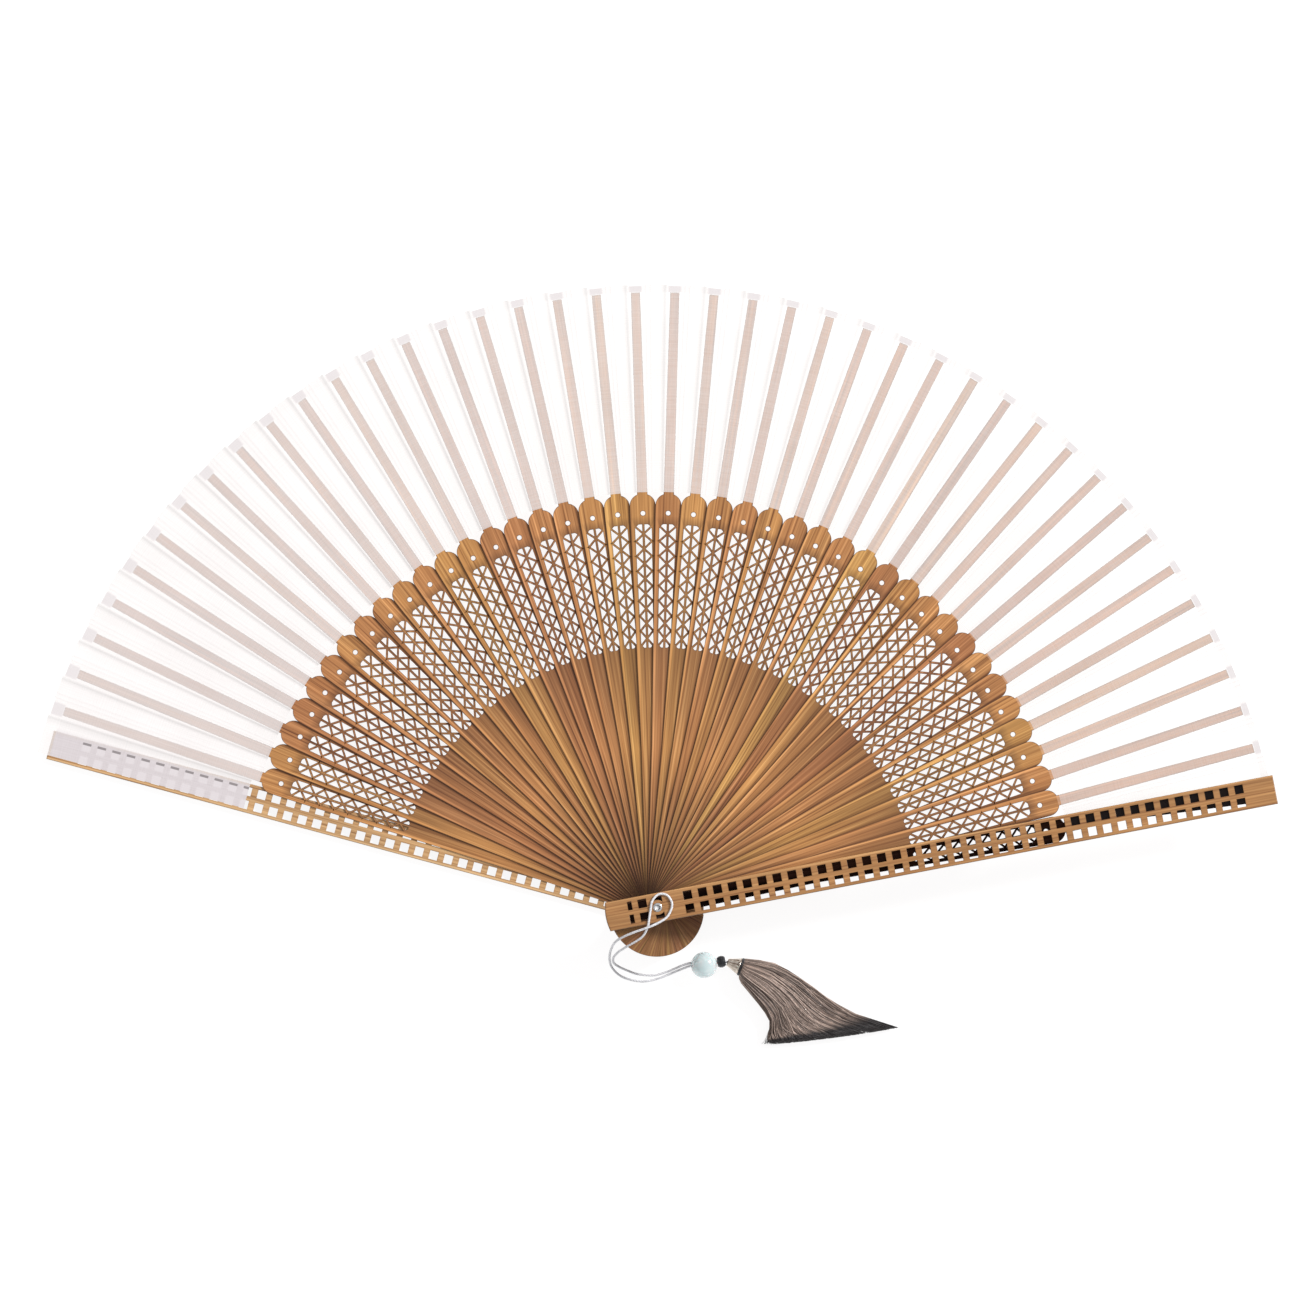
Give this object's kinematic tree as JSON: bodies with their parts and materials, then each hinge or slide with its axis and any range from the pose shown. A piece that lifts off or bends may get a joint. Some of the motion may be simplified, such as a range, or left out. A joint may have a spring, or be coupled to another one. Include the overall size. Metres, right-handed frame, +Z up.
{
  "type": "folding fan",
  "caption": "Open folding fan with pierced bamboo ribs and guards, a pleated white silk leaf and a corded bead tassel.",
  "frame": {"origin": "on the pivot axis, at the underside of the rear guard, which is the surface the open fan lies on", "axes": "+Z up through the stack from the rear guard to the front guard; +Y the way the fan opens; +X to the right, towards the front guard"},
  "size_m": [0.3821, 0.2345, 0.0242],
  "materials": {
    "guard_bamboo": "polished bamboo, pale honey",
    "rib_bamboo": "carbonised bamboo, satin, straight grain",
    "silk": "sheer white silk",
    "eyelet_metal": "bright nickel",
    "cord_silk": "silky silver-white cord",
    "aqua_glass": "cloudy aqua glass",
    "black_thread": "black knotted thread",
    "cap_metal": "fluted champagne metal",
    "dark_band": "dark binding thread",
    "tassel_thread": "grey silk thread, dark at the cut ends"
  },
  "bodies": {
    "root": {"front_guard": "guard_bamboo", "rib_42": "rib_bamboo", "silk_leaf": "silk", "eyelet": "eyelet_metal", "eyelet_washer": "eyelet_metal", "tassel_cord": "cord_silk", "aqua_bead": "aqua_glass", "black_bead": "black_thread", "tassel_cap": "cap_metal", "cap_ring": "dark_band", "tassel_skirt": "tassel_thread"},
    "rib_41": {"rib_41": "rib_bamboo"},
    "rib_40": {"rib_40": "rib_bamboo"},
    "rib_39": {"rib_39": "rib_bamboo"},
    "rib_38": {"rib_38": "rib_bamboo"},
    "rib_37": {"rib_37": "rib_bamboo"},
    "rib_36": {"rib_36": "rib_bamboo"},
    "rib_35": {"rib_35": "rib_bamboo"},
    "rib_34": {"rib_34": "rib_bamboo"},
    "rib_33": {"rib_33": "rib_bamboo"},
    "rib_32": {"rib_32": "rib_bamboo"},
    "rib_31": {"rib_31": "rib_bamboo"},
    "rib_30": {"rib_30": "rib_bamboo"},
    "rib_29": {"rib_29": "rib_bamboo"},
    "rib_28": {"rib_28": "rib_bamboo"},
    "rib_27": {"rib_27": "rib_bamboo"},
    "rib_26": {"rib_26": "rib_bamboo"},
    "rib_25": {"rib_25": "rib_bamboo"},
    "rib_24": {"rib_24": "rib_bamboo"},
    "rib_23": {"rib_23": "rib_bamboo"},
    "rib_22": {"rib_22": "rib_bamboo"},
    "rib_21": {"rib_21": "rib_bamboo"},
    "rib_20": {"rib_20": "rib_bamboo"},
    "rib_19": {"rib_19": "rib_bamboo"},
    "rib_18": {"rib_18": "rib_bamboo"},
    "rib_17": {"rib_17": "rib_bamboo"},
    "rib_16": {"rib_16": "rib_bamboo"},
    "rib_15": {"rib_15": "rib_bamboo"},
    "rib_14": {"rib_14": "rib_bamboo"},
    "rib_13": {"rib_13": "rib_bamboo"},
    "rib_12": {"rib_12": "rib_bamboo"},
    "rib_11": {"rib_11": "rib_bamboo"},
    "rib_10": {"rib_10": "rib_bamboo"},
    "rib_09": {"rib_09": "rib_bamboo"},
    "rib_08": {"rib_08": "rib_bamboo"},
    "rib_07": {"rib_07": "rib_bamboo"},
    "rib_06": {"rib_06": "rib_bamboo"},
    "rib_05": {"rib_05": "rib_bamboo"},
    "rib_04": {"rib_04": "rib_bamboo"},
    "rib_03": {"rib_03": "rib_bamboo"},
    "rib_02": {"rib_02": "rib_bamboo"},
    "rib_01": {"rib_01": "rib_bamboo"},
    "rear_guard": {"rear_guard": "guard_bamboo"}
  },
  "joints": [
    {"name": "fold", "type": "hinge", "parent": "root", "child": "rib_41", "pos_m": [0, 0, 0], "axis": [0, 0, -1], "range_deg": [0, 4.15], "deforming": ["silk_leaf"]},
    {"name": "rib_40_pivot", "type": "hinge", "parent": "rib_41", "child": "rib_40", "pos_m": [0, 0, 0], "axis": [0, 0, -1], "range_deg": [0, 3.67]},
    {"name": "rib_39_pivot", "type": "hinge", "parent": "rib_40", "child": "rib_39", "pos_m": [0, 0, 0], "axis": [0, 0, -1], "range_deg": [0, 3.67]},
    {"name": "rib_38_pivot", "type": "hinge", "parent": "rib_39", "child": "rib_38", "pos_m": [0, 0, 0], "axis": [0, 0, -1], "range_deg": [0, 3.67]},
    {"name": "rib_37_pivot", "type": "hinge", "parent": "rib_38", "child": "rib_37", "pos_m": [0, 0, 0], "axis": [0, 0, -1], "range_deg": [0, 3.67]},
    {"name": "rib_36_pivot", "type": "hinge", "parent": "rib_37", "child": "rib_36", "pos_m": [0, 0, 0], "axis": [0, 0, -1], "range_deg": [0, 3.67]},
    {"name": "rib_35_pivot", "type": "hinge", "parent": "rib_36", "child": "rib_35", "pos_m": [0, 0, 0], "axis": [0, 0, -1], "range_deg": [0, 3.67]},
    {"name": "rib_34_pivot", "type": "hinge", "parent": "rib_35", "child": "rib_34", "pos_m": [0, 0, 0], "axis": [0, 0, -1], "range_deg": [0, 3.67]},
    {"name": "rib_33_pivot", "type": "hinge", "parent": "rib_34", "child": "rib_33", "pos_m": [0, 0, 0], "axis": [0, 0, -1], "range_deg": [0, 3.67]},
    {"name": "rib_32_pivot", "type": "hinge", "parent": "rib_33", "child": "rib_32", "pos_m": [0, 0, 0], "axis": [0, 0, -1], "range_deg": [0, 3.67]},
    {"name": "rib_31_pivot", "type": "hinge", "parent": "rib_32", "child": "rib_31", "pos_m": [0, 0, 0], "axis": [0, 0, -1], "range_deg": [0, 3.67]},
    {"name": "rib_30_pivot", "type": "hinge", "parent": "rib_31", "child": "rib_30", "pos_m": [0, 0, 0], "axis": [0, 0, -1], "range_deg": [0, 3.67]},
    {"name": "rib_29_pivot", "type": "hinge", "parent": "rib_30", "child": "rib_29", "pos_m": [0, 0, 0], "axis": [0, 0, -1], "range_deg": [0, 3.67]},
    {"name": "rib_28_pivot", "type": "hinge", "parent": "rib_29", "child": "rib_28", "pos_m": [0, 0, 0], "axis": [0, 0, -1], "range_deg": [0, 3.67]},
    {"name": "rib_27_pivot", "type": "hinge", "parent": "rib_28", "child": "rib_27", "pos_m": [0, 0, 0], "axis": [0, 0, -1], "range_deg": [0, 3.67]},
    {"name": "rib_26_pivot", "type": "hinge", "parent": "rib_27", "child": "rib_26", "pos_m": [0, 0, 0], "axis": [0, 0, -1], "range_deg": [0, 3.67]},
    {"name": "rib_25_pivot", "type": "hinge", "parent": "rib_26", "child": "rib_25", "pos_m": [0, 0, 0], "axis": [0, 0, -1], "range_deg": [0, 3.67]},
    {"name": "rib_24_pivot", "type": "hinge", "parent": "rib_25", "child": "rib_24", "pos_m": [0, 0, 0], "axis": [0, 0, -1], "range_deg": [0, 3.67]},
    {"name": "rib_23_pivot", "type": "hinge", "parent": "rib_24", "child": "rib_23", "pos_m": [0, 0, 0], "axis": [0, 0, -1], "range_deg": [0, 3.67]},
    {"name": "rib_22_pivot", "type": "hinge", "parent": "rib_23", "child": "rib_22", "pos_m": [0, 0, 0], "axis": [0, 0, -1], "range_deg": [0, 3.67]},
    {"name": "rib_21_pivot", "type": "hinge", "parent": "rib_22", "child": "rib_21", "pos_m": [0, 0, 0], "axis": [0, 0, -1], "range_deg": [0, 3.67]},
    {"name": "rib_20_pivot", "type": "hinge", "parent": "rib_21", "child": "rib_20", "pos_m": [0, 0, 0], "axis": [0, 0, -1], "range_deg": [0, 3.67]},
    {"name": "rib_19_pivot", "type": "hinge", "parent": "rib_20", "child": "rib_19", "pos_m": [0, 0, 0], "axis": [0, 0, -1], "range_deg": [0, 3.67]},
    {"name": "rib_18_pivot", "type": "hinge", "parent": "rib_19", "child": "rib_18", "pos_m": [0, 0, 0], "axis": [0, 0, -1], "range_deg": [0, 3.67]},
    {"name": "rib_17_pivot", "type": "hinge", "parent": "rib_18", "child": "rib_17", "pos_m": [0, 0, 0], "axis": [0, 0, -1], "range_deg": [0, 3.67]},
    {"name": "rib_16_pivot", "type": "hinge", "parent": "rib_17", "child": "rib_16", "pos_m": [0, 0, 0], "axis": [0, 0, -1], "range_deg": [0, 3.67]},
    {"name": "rib_15_pivot", "type": "hinge", "parent": "rib_16", "child": "rib_15", "pos_m": [0, 0, 0], "axis": [0, 0, -1], "range_deg": [0, 3.67]},
    {"name": "rib_14_pivot", "type": "hinge", "parent": "rib_15", "child": "rib_14", "pos_m": [0, 0, 0], "axis": [0, 0, -1], "range_deg": [0, 3.67]},
    {"name": "rib_13_pivot", "type": "hinge", "parent": "rib_14", "child": "rib_13", "pos_m": [0, 0, 0], "axis": [0, 0, -1], "range_deg": [0, 3.67]},
    {"name": "rib_12_pivot", "type": "hinge", "parent": "rib_13", "child": "rib_12", "pos_m": [0, 0, 0], "axis": [0, 0, -1], "range_deg": [0, 3.67]},
    {"name": "rib_11_pivot", "type": "hinge", "parent": "rib_12", "child": "rib_11", "pos_m": [0, 0, 0], "axis": [0, 0, -1], "range_deg": [0, 3.67]},
    {"name": "rib_10_pivot", "type": "hinge", "parent": "rib_11", "child": "rib_10", "pos_m": [0, 0, 0], "axis": [0, 0, -1], "range_deg": [0, 3.67]},
    {"name": "rib_09_pivot", "type": "hinge", "parent": "rib_10", "child": "rib_09", "pos_m": [0, 0, 0], "axis": [0, 0, -1], "range_deg": [0, 3.67]},
    {"name": "rib_08_pivot", "type": "hinge", "parent": "rib_09", "child": "rib_08", "pos_m": [0, 0, 0], "axis": [0, 0, -1], "range_deg": [0, 3.67]},
    {"name": "rib_07_pivot", "type": "hinge", "parent": "rib_08", "child": "rib_07", "pos_m": [0, 0, 0], "axis": [0, 0, -1], "range_deg": [0, 3.67]},
    {"name": "rib_06_pivot", "type": "hinge", "parent": "rib_07", "child": "rib_06", "pos_m": [0, 0, 0], "axis": [0, 0, -1], "range_deg": [0, 3.67]},
    {"name": "rib_05_pivot", "type": "hinge", "parent": "rib_06", "child": "rib_05", "pos_m": [0, 0, 0], "axis": [0, 0, -1], "range_deg": [0, 3.67]},
    {"name": "rib_04_pivot", "type": "hinge", "parent": "rib_05", "child": "rib_04", "pos_m": [0, 0, 0], "axis": [0, 0, -1], "range_deg": [0, 3.67]},
    {"name": "rib_03_pivot", "type": "hinge", "parent": "rib_04", "child": "rib_03", "pos_m": [0, 0, 0], "axis": [0, 0, -1], "range_deg": [0, 3.67]},
    {"name": "rib_02_pivot", "type": "hinge", "parent": "rib_03", "child": "rib_02", "pos_m": [0, 0, 0], "axis": [0, 0, -1], "range_deg": [0, 3.67]},
    {"name": "rib_01_pivot", "type": "hinge", "parent": "rib_02", "child": "rib_01", "pos_m": [0, 0, 0], "axis": [0, 0, -1], "range_deg": [0, 3.67]},
    {"name": "rear_guard_pivot", "type": "hinge", "parent": "rib_01", "child": "rear_guard", "pos_m": [0, 0, 0], "axis": [0, 0, -1], "range_deg": [0, 3.3]}
  ],
  "couplings": [
    {"joint": "rib_40_pivot", "follows": "fold", "ratio": 0.8831},
    {"joint": "rib_39_pivot", "follows": "fold", "ratio": 0.8831},
    {"joint": "rib_38_pivot", "follows": "fold", "ratio": 0.8831},
    {"joint": "rib_37_pivot", "follows": "fold", "ratio": 0.8831},
    {"joint": "rib_36_pivot", "follows": "fold", "ratio": 0.8831},
    {"joint": "rib_35_pivot", "follows": "fold", "ratio": 0.8831},
    {"joint": "rib_34_pivot", "follows": "fold", "ratio": 0.8831},
    {"joint": "rib_33_pivot", "follows": "fold", "ratio": 0.8831},
    {"joint": "rib_32_pivot", "follows": "fold", "ratio": 0.8831},
    {"joint": "rib_31_pivot", "follows": "fold", "ratio": 0.8831},
    {"joint": "rib_30_pivot", "follows": "fold", "ratio": 0.8831},
    {"joint": "rib_29_pivot", "follows": "fold", "ratio": 0.8831},
    {"joint": "rib_28_pivot", "follows": "fold", "ratio": 0.8831},
    {"joint": "rib_27_pivot", "follows": "fold", "ratio": 0.8831},
    {"joint": "rib_26_pivot", "follows": "fold", "ratio": 0.8831},
    {"joint": "rib_25_pivot", "follows": "fold", "ratio": 0.8831},
    {"joint": "rib_24_pivot", "follows": "fold", "ratio": 0.8831},
    {"joint": "rib_23_pivot", "follows": "fold", "ratio": 0.8831},
    {"joint": "rib_22_pivot", "follows": "fold", "ratio": 0.8831},
    {"joint": "rib_21_pivot", "follows": "fold", "ratio": 0.8831},
    {"joint": "rib_20_pivot", "follows": "fold", "ratio": 0.8831},
    {"joint": "rib_19_pivot", "follows": "fold", "ratio": 0.8831},
    {"joint": "rib_18_pivot", "follows": "fold", "ratio": 0.8831},
    {"joint": "rib_17_pivot", "follows": "fold", "ratio": 0.8831},
    {"joint": "rib_16_pivot", "follows": "fold", "ratio": 0.8831},
    {"joint": "rib_15_pivot", "follows": "fold", "ratio": 0.8831},
    {"joint": "rib_14_pivot", "follows": "fold", "ratio": 0.8831},
    {"joint": "rib_13_pivot", "follows": "fold", "ratio": 0.8831},
    {"joint": "rib_12_pivot", "follows": "fold", "ratio": 0.8831},
    {"joint": "rib_11_pivot", "follows": "fold", "ratio": 0.8831},
    {"joint": "rib_10_pivot", "follows": "fold", "ratio": 0.8831},
    {"joint": "rib_09_pivot", "follows": "fold", "ratio": 0.8831},
    {"joint": "rib_08_pivot", "follows": "fold", "ratio": 0.8831},
    {"joint": "rib_07_pivot", "follows": "fold", "ratio": 0.8831},
    {"joint": "rib_06_pivot", "follows": "fold", "ratio": 0.8831},
    {"joint": "rib_05_pivot", "follows": "fold", "ratio": 0.8831},
    {"joint": "rib_04_pivot", "follows": "fold", "ratio": 0.8831},
    {"joint": "rib_03_pivot", "follows": "fold", "ratio": 0.8831},
    {"joint": "rib_02_pivot", "follows": "fold", "ratio": 0.8831},
    {"joint": "rib_01_pivot", "follows": "fold", "ratio": 0.8831},
    {"joint": "rear_guard_pivot", "follows": "fold", "ratio": 0.7951}
  ]
}
